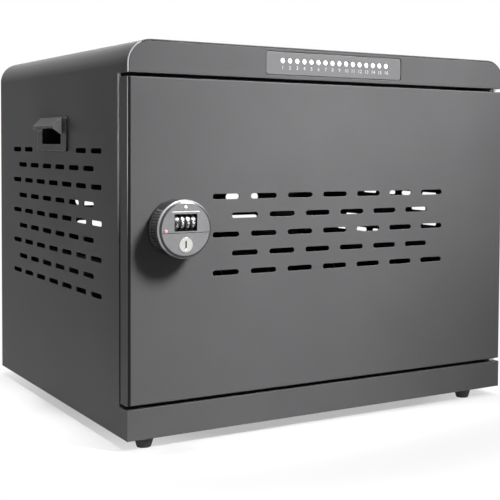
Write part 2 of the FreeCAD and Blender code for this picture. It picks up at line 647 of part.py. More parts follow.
sketch = new_sketch(module, "XZ", module_rear - mm.steel)
circle(sketch, inlet_side, inlet_level, mm.lead_radius + mm.lead_clearance)
extrude(module, "Pocket", sketch, mm.steel, 1)

board_front = mm.module_front + mm.socket_depth
board = new_body("charger_board")
sketch = new_sketch(board, "XZ", board_front)
board_head = lamp_level - mm.lamp_lead_rise
board_end = first_socket - mm.board_overhang
rectangle(sketch, board_end, module_floor, -1 * board_end, board_head)
extrude(board, "Pad", sketch, mm.board_thick, 1)

sockets = new_body("usb_sockets", first_socket, mm.module_front, socket_level)
socket_rise = mm.socket_height / 2
sketch = new_sketch(sockets, "XZ", -1 * mm.socket_proud)
rectangle(sketch, -1 * socket_half, -1 * socket_rise, socket_half, socket_rise)
case = extrude(sockets, "Pad", sketch, mm.socket_depth + mm.socket_proud, 1)
repeat(sockets, [case], [("X", socket_span, 16)])
# mouth with the contact tongue left standing in it
sketch = new_sketch(sockets, "XZ", -1 * mm.socket_proud)
mouth_half, mouth_rise = socket_half - mm.socket_wall, socket_rise - mm.socket_wall
rectangle(sketch, -1 * mouth_half, -1 * mouth_rise, mouth_half, mouth_rise)
tongue_half = mouth_half - mm.tongue_inset
tongue_head = mouth_rise - mm.tongue_inset
rectangle(sketch, -1 * tongue_half, tongue_head - mm.tongue_thick, tongue_half, tongue_head)
mouth = extrude(sockets, "Pocket", sketch, mm.socket_mouth, 1)
repeat(sockets, [mouth], [("X", socket_span, 16)])

supply = new_body("power_supply")
supply_front = board_front + mm.board_thick + mm.supply_gap
supply_left = mm.supply_side_gap - module_side
supply_right = inlet_side - mm.supply_lead_gap
terminal_end = supply_right - mm.terminal_length
sketch = new_sketch(supply, "XY", module_floor)
rectangle(sketch, supply_left, supply_front, supply_right, supply_front + mm.supply_width)
extrude(supply, "Pad", sketch, mm.supply_height, 1)
# stepped terminal end, low enough for the lead to come in over it
sketch = new_sketch(supply, "XZ", supply_front)
rectangle(sketch, terminal_end, inlet_level - mm.terminal_drop, supply_right, module_floor + mm.supply_height)
extrude(supply, "Pocket", sketch, mm.supply_width, 1)

# mains inlet: flanged plastic shell with three blades, lead on to the supply
inlet = new_body("power_inlet", inlet_side, mm.cabinet_depth, inlet_level)
sketch = new_sketch(inlet, "XZ")
half_w, half_h = mm.inlet_width / 2, mm.inlet_height / 2
rim_w, rim_h = half_w + mm.inlet_rim, half_h + mm.inlet_rim
rectangle(sketch, -1 * rim_w, -1 * rim_h, rim_w, rim_h)
flange = extrude(inlet, "Pad", sketch, mm.inlet_flange, 1)
names = edges_along(flange, Y, lambda p: True)
soften(inlet, flange, names, mm.inlet_rim * 0.7)
sketch = new_sketch(inlet, "XZ")
rectangle(sketch, -1 * half_w, -1 * half_h, half_w, half_h)
extrude(inlet, "Pad", sketch, mm.inlet_depth, -1)
sketch = new_sketch(inlet, "XZ", mm.inlet_flange)
bevel = mm.inlet_bevel
in_w, in_h = half_w - mm.inlet_wall, half_h - mm.inlet_wall
polygon(sketch, [(-1 * in_w, -1 * in_h), (in_w, -1 * in_h), (in_w, in_h - bevel), (in_w - bevel, in_h),
                 (bevel - in_w, in_h), (-1 * in_w, in_h - bevel)])
extrude(inlet, "Pocket", sketch, mm.inlet_flange + mm.inlet_depth - mm.inlet_floor, -1)
blades = new_body("inlet_pins", inlet_side, mm.cabinet_depth, inlet_level)
sketch = new_sketch(blades, "XZ", mm.inlet_floor - mm.inlet_depth)
for x, z in ((-1 * mm.blade_pitch, -1 * mm.blade_drop), (mm.blade_pitch, -1 * mm.blade_drop),
             (0.0, mm.blade_earth_rise)):
    rectangle(sketch, x - mm.blade_width / 2, z - mm.blade_height / 2, x + mm.blade_width / 2,
              z + mm.blade_height / 2)
extrude(blades, "Pad", sketch, mm.blade_length, 1)


def lead(label, plane, level, start, end, bend, profile_plane, profile_level, middle, radius):
    cable = new_body(label)
    path = new_sketch(cable, plane, level)
    elbow(path, start, end, bend)
    section = new_sketch(cable, profile_plane, profile_level)
    circle(section, middle[0], middle[1], radius)
    doc.recompute()
    pipe = cable.newObject("PartDesign::AdditivePipe", label + "_run")
    pipe.Profile = section
    pipe.Spine = (path, [])
    doc.recompute()
    return cable


inlet_back = mm.cabinet_depth - mm.inlet_depth
lead("mains_lead", "XY", inlet_level, (inlet_side, inlet_back),
     (terminal_end, supply_front + mm.supply_width / 2), mm.lead_bend, "XZ", inlet_back,
     (inlet_side, inlet_level), mm.lead_radius)

lead("indicator_lead", "YZ", lamp_lead_x, (board_front + mm.board_thick / 2, board_head),
     (mm.lamp_board_back + mm.board_thick, lamp_level), mm.lamp_lead_bend, "XY", board_head,
     (lamp_lead_x, board_front + mm.board_thick / 2), mm.lamp_lead_radius)

# rack: raised plate with two rows of tab slots, one divider standing in each pair
rack = new_body("divider_rack")
sketch = new_sketch(rack, "YZ")
rack_rear = mm.cabinet_depth - mm.rack_rear_gap
rack_head = mm.rack_level
polygon(sketch, [(mm.rack_front, t), (mm.rack_front + t, t), (mm.rack_front + t, rack_head - t),
                 (rack_rear - t, rack_head - t), (rack_rear - t, t), (rack_rear, t), (rack_rear, rack_head),
                 (mm.rack_front, rack_head)])
extrude(rack, "Pad", sketch, (inner_half - mm.rack_side_gap) * 2, 0)
tab_front = mm.rack_front + mm.tab_inset
tab_rear = rack_rear - mm.tab_inset - mm.divider_tab
# sixteen equal bays between the side walls
bay_pitch = inner_half / 8
first_bay = -1 * bay_pitch * 7
sketch = new_sketch(rack, "XY", rack_head)
rectangle(sketch, first_bay - mm.divider_thick / 2, tab_front, first_bay + mm.divider_thick / 2,
          tab_front + mm.divider_tab)
cut = extrude(rack, "Pocket", sketch, mm.steel, -1)
repeat(rack, [cut], [("X", bay_pitch * 14, 15), ("Y", tab_rear - tab_front, 2)])

for i in range(15):
    divider = new_body("divider_%02d" % (i + 1), first_bay + bay_pitch * i)
    sketch = new_sketch(divider, "YZ")
    head = rack_head + mm.divider_height
    front, rear = mm.rack_front + mm.divider_inset, rack_rear - mm.divider_inset
    tab = rack_head - mm.steel
    polygon(sketch, [(front, rack_head), (tab_front, rack_head), (tab_front, tab),
                     (tab_front + mm.divider_tab, tab), (tab_front + mm.divider_tab, rack_head),
                     (tab_rear, rack_head), (tab_rear, tab), (tab_rear + mm.divider_tab, tab),
                     (tab_rear + mm.divider_tab, rack_head), (rear, rack_head), (rear, head),
                     (front + mm.divider_slope, head), (front, head - mm.divider_slope)])
    extrude(divider, "Pad", sketch, mm.divider_thick, 0)

# hinge pins: headed, set in the two ledges and reaching into the door's bushes
pin_span = mm.door_reveal + mm.steel
for label, level, turn in (("hinge_pin_upper", header_foot + mm.steel, -1),
                           ("hinge_pin_lower", mm.base_height - mm.steel, 1)):
    pin = new_body(label, pivot_x, mm.pivot_front, level)
    sketch = new_sketch(pin, "XZ")
    head = -turn * mm.pin_head_height
    tip = turn * (pin_span + mm.pin_reach)
    polygon(sketch, [(0.0, head), (mm.pin_head_radius, head), (mm.pin_head_radius, 0.0),
                     (mm.pin_radius, 0.0), (mm.pin_radius, tip - turn * mm.small_bevel),
                     (mm.pin_radius - mm.small_bevel, tip), (0.0, tip)])
    spin(pin, sketch, "V_Axis")

# door: folded pan with return lips, vents, lock hole and two bush holes
door = new_body("door_panel")
sketch = new_sketch(door, "XZ")
rectangle(sketch, -1 * half_width, door_foot, half_width, door_head)
pan = extrude(door, "Pad", sketch, mm.door_thick, 1)
names = edges_along(pan, Z, lambda p: near(p.y, 0.0))
names += edges_along(pan, X, lambda p: near(p.y, 0.0))
soften(door, pan, names, mm.small_bevel)
sketch = new_sketch(door, "XZ", mm.steel)
rectangle(sketch, -1 * inner_half, door_foot + t, inner_half, door_head - t)
extrude(door, "Pocket", sketch, mm.door_thick - t * 2, 1)
sketch = new_sketch(door, "XZ", mm.steel)
wide = inner_half - mm.door_lip - mm.pivot_inset
rectangle(sketch, mm.door_lip - inner_half, door_foot + t + mm.door_lip, wide, door_head - t - mm.door_lip)
extrude(door, "Pocket", sketch, mm.door_thick, 1)
vent_rows(door, "XZ", 0.0, mm.steel, 1, 0.0, door_slot_pitch, door_head - mm.door_row_drop,
          mm.door_row_pitch, [(7, 0, 3), (6, 1, 2)])
sketch = new_sketch(door, "XZ")
circle(sketch, lock_x, lock_level, mm.sleeve_radius)
extrude(door, "Pocket", sketch, mm.steel, 1)
for level, turn in ((door_foot, 1), (door_head, -1)):
    sketch = new_sketch(door, "XY", level)
    circle(sketch, pivot_x, mm.pivot_front, mm.bush_radius)
    extrude(door, "Pocket", sketch, mm.steel, turn)

bore = mm.pin_radius + mm.running_gap
for label, level, turn in (("hinge_bush_upper", door_head, -1), ("hinge_bush_lower", door_foot, 1)):
    bush = new_body(label, pivot_x, mm.pivot_front, level)
    sketch = new_sketch(bush, "XZ")
    tip = turn * mm.bush_length
    collar = -turn * mm.bush_collar_height
    polygon(sketch, [(bore, collar), (mm.bush_collar_radius, collar), (mm.bush_collar_radius, 0.0),
                     (mm.bush_radius, 0.0), (mm.bush_radius, tip), (bore, tip)])
    spin(bush, sketch, "V_Axis")

# lock base: rosette on the door's face with a threaded sleeve through it, clamped by a nut
lock_base = new_body("lock_base", lock_x, 0.0, lock_level)
sketch = new_sketch(lock_base, "XY")
sleeve_bore = mm.spindle_radius + mm.running_gap
polygon(sketch, [(sleeve_bore, -1 * mm.rosette_thick),
                 (mm.knob_radius - mm.small_bevel, -1 * mm.rosette_thick),
                 (mm.knob_radius, mm.small_bevel - mm.rosette_thick), (mm.knob_radius, 0.0),
                 (mm.sleeve_radius, 0.0), (mm.sleeve_radius, mm.sleeve_length),
                 (sleeve_bore, mm.sleeve_length)])
spin(lock_base, sketch, "V_Axis")
nut = new_body("lock_nut", lock_x, mm.steel, lock_level)
sketch = new_sketch(nut, "XZ")
flat = mm.nut_flats / 2
point = flat * (2 / math.sqrt(3))
polygon(sketch, [(point, 0.0), (point / 2, flat), (point / -2, flat), (-1 * point, 0.0),
                 (point / -2, -1 * flat), (point / 2, -1 * flat)])
circle(sketch, 0.0, 0.0, mm.sleeve_radius)
extrude(nut, "Pad", sketch, mm.nut_height, 1)

# knob: cast body with spindle, wheel chamber, key bore, grip flutes and the line across its face
knob = new_body("lock_knob", lock_x, 0.0, lock_level)
knob_back = -1 * (mm.rosette_thick + mm.knob_gap)
face = -1 * knob_standoff
cam_front = jamb_front + mm.steel + mm.cam_back
spindle_end = cam_front + mm.cam_thick
sketch = new_sketch(knob, "XY")
ease = mm.small_bevel
polygon(sketch, [(0.0, face), (mm.knob_radius - ease * 3, face), (mm.knob_radius - ease, face + ease),
                 (mm.knob_radius, face + ease * 3), (mm.knob_radius, knob_back),
                 (mm.spindle_radius, knob_back), (mm.spindle_radius, cam_front), (0.0, cam_front)])
spin(knob, sketch, "V_Axis")
sketch = new_sketch(knob, "XZ", cam_front)
square = mm.cam_square / 2
rectangle(sketch, -1 * square, -1 * square, square, square)
extrude(knob, "Pad", sketch, mm.cam_thick, 1)
room_half = mm.wheel_pitch * 2 + mm.wheel_room
chamber = mm.wheel_radius + mm.wheel_room
axle_y = face + mm.wheel_radius + mm.wheel_sink
key_drop = mm.knob_radius - mm.key_radius - mm.key_rim
sketch = new_sketch(knob, "XZ", face)
rectangle(sketch, -1 * room_half, mm.wheel_rise - chamber, room_half, mm.wheel_rise + chamber)
extrude(knob, "Pocket", sketch, chamber_depth, 1)
sketch = new_sketch(knob, "XZ", face)
circle(sketch, 0.0, -1 * key_drop, mm.key_radius + mm.running_gap)
extrude(knob, "Pocket", sketch, mm.key_length, 1)
axle_half = room_half + mm.axle_seat
sketch = new_sketch(knob, "YZ")
circle(sketch, axle_y, mm.wheel_rise, mm.axle_radius)
extrude(knob, "Pocket", sketch, axle_half * 2, 0)
sketch = new_sketch(knob, "XZ", face)
groove = mm.divide_width / 2
rectangle(sketch, -1 * mm.knob_radius, -1 * groove - mm.divide_drop, mm.knob_radius, groove - mm.divide_drop)
extrude(knob, "Pocket", sketch, mm.divide_depth, 1)
for side in (-1, 1):
    sketch = new_sketch(knob, "XZ", face + mm.grip_front)
    rim = mm.knob_radius
    wide = mm.grip_width / 2
    polygon(sketch, [(side * (rim - mm.grip_depth), 0.0), (side * (rim + ease), wide),
                     (side * (rim + ease), -1 * wide)])
    flute = extrude(knob, "Pocket", sketch, knob_standoff, 1)
    fan(knob, flute, "Y", 36, 7)
    fan(knob, flute, "Y", 36, 7, True)

axle = new_body("wheel_axle", lock_x, 0.0, lock_level)
sketch = new_sketch(axle, "YZ")
circle(sketch, axle_y, mm.wheel_rise, mm.axle_radius)
extrude(axle, "Pad", sketch, axle_half * 2, 0)

for i in range(4):
    wheel = new_body("number_wheel_%d" % (i + 1), lock_x + mm.wheel_pitch * (i - 1.5), axle_y,
                     lock_level + mm.wheel_rise)
    sketch = new_sketch(wheel, "XZ")
    half = (mm.wheel_pitch - mm.wheel_gap) / 2
    inner = mm.axle_radius + mm.running_gap
    shoulder = ease / 2
    polygon(sketch, [(-1 * half, inner), (half, inner), (half, mm.wheel_radius - shoulder),
                     (half - shoulder, mm.wheel_radius), (shoulder - half, mm.wheel_radius),
                     (-1 * half, mm.wheel_radius - shoulder)])
    spin(wheel, sketch, "H_Axis")

key = new_body("key_cylinder", lock_x, 0.0, lock_level - key_drop)
sketch = new_sketch(key, "XZ", face - mm.key_proud)
circle(sketch, 0.0, 0.0, mm.key_radius)
extrude(key, "Pad", sketch, mm.key_length + mm.key_proud, 1)
sketch = new_sketch(key, "XZ", face - mm.key_proud)
way_x, way_z = mm.keyway_width / 2, mm.keyway_length / 2
rectangle(sketch, -1 * way_x, -1 * way_z, way_x, way_z)
extrude(key, "Pocket", sketch, mm.keyway_depth, 1)

# cam: upright while unlocked, a quarter turn carries it behind the left jamb flange
cam = new_body("lock_cam", lock_x, cam_front, lock_level)
sketch = new_sketch(cam, "XZ")
cam_half = mm.cam_width / 2
cam_tip = mm.lock_side - mm.steel - mm.cam_wall_gap
rectangle(sketch, -1 * cam_half, -1 * cam_half, cam_half, cam_tip)
rectangle(sketch, -1 * square, -1 * square, square, square)
plate = extrude(cam, "Pad", sketch, mm.cam_thick, 1)
names = edges_along(plate, Y, lambda p: near(abs(p.x), cam_half))
soften(cam, plate, names, mm.cam_corner)
cam_screw = new_body("cam_screw", lock_x, spindle_end, lock_level)
sketch = new_sketch(cam_screw, "XY")
crown = mm.cam_screw_head * 0.6
polygon(sketch, [(0.0, 0.0), (mm.cam_screw_radius, 0.0), (mm.cam_screw_radius, crown),
                 (mm.cam_screw_radius * 0.75, mm.cam_screw_head), (0.0, mm.cam_screw_head)])
spin(cam_screw, sketch, "V_Axis")
cross_recess(cam_screw, "XZ", mm.cam_screw_head, mm.cam_screw_radius, mm.cam_screw_head, -1)

doc.recompute()

os.makedirs("parts", exist_ok=True)
for item in doc.Objects:
    if "Invalid" in item.State or "Error" in item.State:
        raise RuntimeError("%s is %s" % (item.Label, item.State))
for piece in PARTS:
    shape = piece.Shape
    if shape.isNull() or not shape.isValid() or not shape.Solids:
        raise RuntimeError(piece.Label + " has no valid solid")
    shape.exportStep("parts/%s.step" % piece.Label)
    print("%-20s solids %2d  volume %.0f" % (piece.Label, len(shape.Solids), shape.Volume))
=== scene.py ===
import json
import math
import bmesh
import bpy
from mathutils import Matrix, Vector


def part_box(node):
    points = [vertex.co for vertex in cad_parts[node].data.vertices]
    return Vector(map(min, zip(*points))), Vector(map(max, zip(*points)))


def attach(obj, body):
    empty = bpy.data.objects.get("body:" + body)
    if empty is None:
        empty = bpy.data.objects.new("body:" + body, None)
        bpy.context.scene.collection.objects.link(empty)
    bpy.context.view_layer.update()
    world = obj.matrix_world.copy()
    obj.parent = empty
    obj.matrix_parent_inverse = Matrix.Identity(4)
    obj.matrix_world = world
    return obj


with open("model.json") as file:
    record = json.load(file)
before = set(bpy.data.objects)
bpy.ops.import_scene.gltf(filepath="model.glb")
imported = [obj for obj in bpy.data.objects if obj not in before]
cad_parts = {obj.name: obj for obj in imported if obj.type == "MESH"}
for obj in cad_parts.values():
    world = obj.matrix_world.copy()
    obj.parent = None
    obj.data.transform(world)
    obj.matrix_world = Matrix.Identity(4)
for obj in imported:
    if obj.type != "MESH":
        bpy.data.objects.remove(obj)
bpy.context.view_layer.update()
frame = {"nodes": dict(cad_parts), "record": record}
print("frame loaded:", len(frame["nodes"]), "nodes")


# node helpers

def startMaterial(name):
    material = bpy.data.materials.new(name)
    material.use_nodes = True
    nodes = material.node_tree.nodes
    shader = nodes["Principled BSDF"]
    return material, nodes, material.node_tree.links, shader


def startGroup(name, inputs, outputs):
    tree = bpy.data.node_groups.new(name, "ShaderNodeTree")
    for label, kind, value in inputs:
        socket = tree.interface.new_socket(label, in_out="INPUT", socket_type=kind)
        socket.default_value = value
    for label, kind in outputs:
        tree.interface.new_socket(label, in_out="OUTPUT", socket_type=kind)
    return tree, tree.nodes.new("NodeGroupInput"), tree.nodes.new("NodeGroupOutput")


def feed(tree, value, socket):
    # value is another node's output or a plain number or colour
    if isinstance(value, bpy.types.NodeSocket):
        tree.links.new(value, socket)
    else:
        socket.default_value = value


def addNoise(tree, vector, scale, detail, rough=0.55):
    noise = tree.nodes.new("ShaderNodeTexNoise")
    noise.inputs["Detail"].default_value = detail
    noise.inputs["Roughness"].default_value = rough
    tree.links.new(vector, noise.inputs["Vector"])
    feed(tree, scale, noise.inputs["Scale"])
    return noise.outputs["Fac"]


def addMap(tree, value, low, high, fromLow=0.3, fromHigh=0.7):
    remap = tree.nodes.new("ShaderNodeMapRange")
    remap.inputs["From Min"].default_value = fromLow
    remap.inputs["From Max"].default_value = fromHigh
    feed(tree, low, remap.inputs["To Min"])
    feed(tree, high, remap.inputs["To Max"])
    tree.links.new(value, remap.inputs["Value"])
    return remap.outputs["Result"]


def addMath(tree, operation, first, second):
    node = tree.nodes.new("ShaderNodeMath")
    node.operation = operation
    feed(tree, first, node.inputs[0])
    feed(tree, second, node.inputs[1])
    return node.outputs[0]


def addMix(tree, factor, first, second, blend="MIX"):
    mix = tree.nodes.new("ShaderNodeMix")
    mix.data_type = "RGBA"
    mix.blend_type = blend
    feed(tree, factor, mix.inputs["Factor"])
    feed(tree, first, mix.inputs["A"])
    feed(tree, second, mix.inputs["B"])
    return mix.outputs["Result"]


def addSeen(tree):
    # 1 where the camera looks, straight or by way of a gloss or a clear piece, 0 for soft light
    path = tree.nodes.new("ShaderNodeLightPath")
    bent = addMath(tree, "MAXIMUM", path.outputs["Is Glossy Ray"], path.outputs["Is Transmission Ray"])
    return addMath(tree, "MAXIMUM", path.outputs["Is Camera Ray"], bent)


# shared effects

grainLook = {"fineShare": 0.45, "fineDetail": 3.0, "cloudShare": 0.55, "cloudDetail": 5.0}


def makeGrainGroup(look):
    # fine surface grain: a tint that wanders, a roughness that varies and a height for the bump
    tree, entry, leave = startGroup("surfaceGrain", [
        ("Color", "NodeSocketColor", (0.1, 0.1, 0.1, 1)), ("Tint", "NodeSocketFloat", 0.1),
        ("Grain Scale", "NodeSocketFloat", 900.0), ("Cloud Scale", "NodeSocketFloat", 14.0),
        ("Rough Low", "NodeSocketFloat", 0.4), ("Rough High", "NodeSocketFloat", 0.5)],
        [("Color", "NodeSocketColor"), ("Roughness", "NodeSocketFloat"), ("Height", "NodeSocketFloat")])
    place = tree.nodes.new("ShaderNodeTexCoord").outputs["Object"]
    fine = addNoise(tree, place, entry.outputs["Grain Scale"], look["fineDetail"])
    cloud = addNoise(tree, place, entry.outputs["Cloud Scale"], look["cloudDetail"])
    both = addMath(tree, "ADD", addMath(tree, "MULTIPLY", fine, look["fineShare"]),
                   addMath(tree, "MULTIPLY", cloud, look["cloudShare"]))
    darker = addMath(tree, "SUBTRACT", 1.0, entry.outputs["Tint"])
    lighter = addMath(tree, "ADD", 1.0, entry.outputs["Tint"])
    shade = addMap(tree, both, darker, lighter)
    grey = tree.nodes.new("ShaderNodeCombineColor")
    for socket in grey.inputs:
        tree.links.new(shade, socket)
    tinted = addMix(tree, 1.0, entry.outputs["Color"], grey.outputs["Color"], "MULTIPLY")
    tree.links.new(tinted, leave.inputs["Color"])
    rough = addMap(tree, both, entry.outputs["Rough Low"], entry.outputs["Rough High"])
    tree.links.new(rough, leave.inputs["Roughness"])
    tree.links.new(fine, leave.inputs["Height"])
    return tree


rubAndHighlightLook = {"sharp": 0.72, "flat": 0.98, "samples": 4, "patchScale": 130.0, "patchDetail": 6.0,
           "patchRough": 0.7, "patchLeast": 0.25, "patchFrom": 0.4, "patchTo": 0.62}


def makeEdgeGroup(look):
    # rubbed colour on sharp edges, part wear and part painted highlight, broken up so that the wear looks
    # patchy
    tree, entry, leave = startGroup("edgeRubAndHighlight", [
        ("Color", "NodeSocketColor", (0.1, 0.1, 0.1, 1)), ("Rubbed And Highlight", "NodeSocketColor", (0.3, 0.3, 0.3, 1)),
        ("Amount", "NodeSocketFloat", 0.5), ("Width", "NodeSocketFloat", 0.0006)],
        [("Color", "NodeSocketColor")])
    bevel = tree.nodes.new("ShaderNodeBevel")
    bevel.samples = look["samples"]
    tree.links.new(entry.outputs["Width"], bevel.inputs["Radius"])
    surface = tree.nodes.new("ShaderNodeNewGeometry")
    align = tree.nodes.new("ShaderNodeVectorMath")
    align.operation = "DOT_PRODUCT"
    tree.links.new(bevel.outputs["Normal"], align.inputs[0])
    tree.links.new(surface.outputs["Normal"], align.inputs[1])
    edge = addMap(tree, align.outputs["Value"], 1.0, 0.0, look["sharp"], look["flat"])
    place = tree.nodes.new("ShaderNodeTexCoord").outputs["Object"]
    speckle = addNoise(tree, place, look["patchScale"], look["patchDetail"], look["patchRough"])
    patch = addMap(tree, speckle, look["patchLeast"], 1.0, look["patchFrom"], look["patchTo"])
    mask = addMath(tree, "MULTIPLY", addMath(tree, "MULTIPLY", edge, patch), entry.outputs["Amount"])
    tree.links.new(addMix(tree, mask, entry.outputs["Color"], entry.outputs["Rubbed And Highlight"]), leave.inputs["Color"])
    return tree


grainGroup = makeGrainGroup(grainLook)
edgeRubAndHighlightGroup = makeEdgeGroup(rubAndHighlightLook)


def placeGroup(nodes, tree, values):
    node = nodes.new("ShaderNodeGroup")
    node.node_tree = tree
    for name, value in values.items():
        node.inputs[name].default_value = value
    return node


roundSamples = 6


def makeFinish(name, look):
    # grain for colour, roughness and bump; rubbed edges (part wear, part painted highlight), bands of painted
    # highlight and shade, and glow where the look asks for them
    material, nodes, links, shader = startMaterial(name)
    tree = material.node_tree
    grain = placeGroup(nodes, grainGroup, {
        "Color": (*look["color"], 1), "Tint": look["tint"], "Grain Scale": look["grainScale"],
        "Cloud Scale": look["cloudScale"], "Rough Low": look["rough"][0], "Rough High": look["rough"][1]})
    color = grain.outputs["Color"]
    if "rub" in look:
        edge = placeGroup(nodes, edgeRubAndHighlightGroup, {
            "Rubbed And Highlight": (*look["rubColor"], 1), "Amount": look["rub"], "Width": look["rubWidth"]})
        links.new(color, edge.inputs["Color"])
        color = edge.outputs["Color"]
    if "bands" in look:
        # painted highlight and shade: colour only where all the bands meet
        place = nodes.new("ShaderNodeSeparateXYZ")
        links.new(nodes.new("ShaderNodeTexCoord").outputs["Object"], place.inputs[0])
        region = 1.0
        for axis, full, gone in look["bands"]:
            near = addMap(tree, place.outputs[axis], 1.0, 0.0, full, gone)
            region = addMath(tree, "MULTIPLY", near, region)
        color = addMix(tree, region, color, (*look["bandColor"], 1))
    links.new(color, shader.inputs["Base Color"])
    links.new(grain.outputs["Roughness"], shader.inputs["Roughness"])
    bump = nodes.new("ShaderNodeBump")
    bump.inputs["Strength"].default_value = look["bump"]
    bump.inputs["Distance"].default_value = look["bumpDepth"]
    links.new(grain.outputs["Height"], bump.inputs["Height"])
    if "roundEdge" in look:
        soften = nodes.new("ShaderNodeBevel")
        soften.samples = roundSamples
        soften.inputs["Radius"].default_value = look["roundEdge"]
        links.new(soften.outputs["Normal"], bump.inputs["Normal"])
    links.new(bump.outputs["Normal"], shader.inputs["Normal"])
    shader.inputs["Metallic"].default_value = look.get("metallic", 0.0)
    shader.inputs["Specular IOR Level"].default_value = look.get("specular", 0.5)
    shader.inputs["Coat Weight"].default_value = look.get("coat", 0.0)
    shader.inputs["Coat Roughness"].default_value = look.get("coatRough", 0.2)
    if "glow" in look:
        links.new(color, shader.inputs["Emission Color"])
        shader.inputs["Emission Strength"].default_value = look["glow"]
    return material


def finish(color, rough, **more):
    # a look with the usual grain, changed by what is given
    look = {"color": color, "rough": rough, "tint": 0.08, "grainScale": 900.0, "cloudScale": 14.0,
            "bump": 0.15, "bumpDepth": 0.0002}
    look.update(more)
    return look


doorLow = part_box("door_panel")[0]
shellLow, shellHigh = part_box("outer_wrap")
knobLow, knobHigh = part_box("lock_knob")
lensLow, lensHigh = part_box("indicator_panel")

# the shell's side edges start behind the door's thickness and the gap there
jambFront = 0.0185
frontEdge = shellLow.y + jambFront

# bands of painted highlight and shade: axis, where it is full, where it is gone
# painted highlight along the left wall's front edge beside the door gap, fading out towards the bottom
jambHighlight = [("X", shellLow.x + 0.0014, shellLow.x + 0.0018), ("Y", frontEdge + 0.0036, frontEdge + 0.0044),
            ("Z", 0.260, 0.190), ("Z", 0.3322, 0.3332)]
# painted shade line down the door's front beside its left edge
doorEdgeShade = [("X", doorLow.x + 0.0028, doorLow.x + 0.0034), ("Y", doorLow.y + 0.0003, doorLow.y + 0.0012)]
# the painted edge highlight fades to a dark colour towards the bottom
highlightFadeLow = [("Z", 0.185, 0.255)]

# the powder coat's rubbed edges are part wear, part painted highlight along the edges
powder = {"tint": 0.07, "grainScale": 1100.0, "bump": 0.22, "specular": 0.06, "rub": 0.55,
          "rubColor": (0.26, 0.26, 0.265), "rubWidth": 0.0009, "roundEdge": 0.0007}

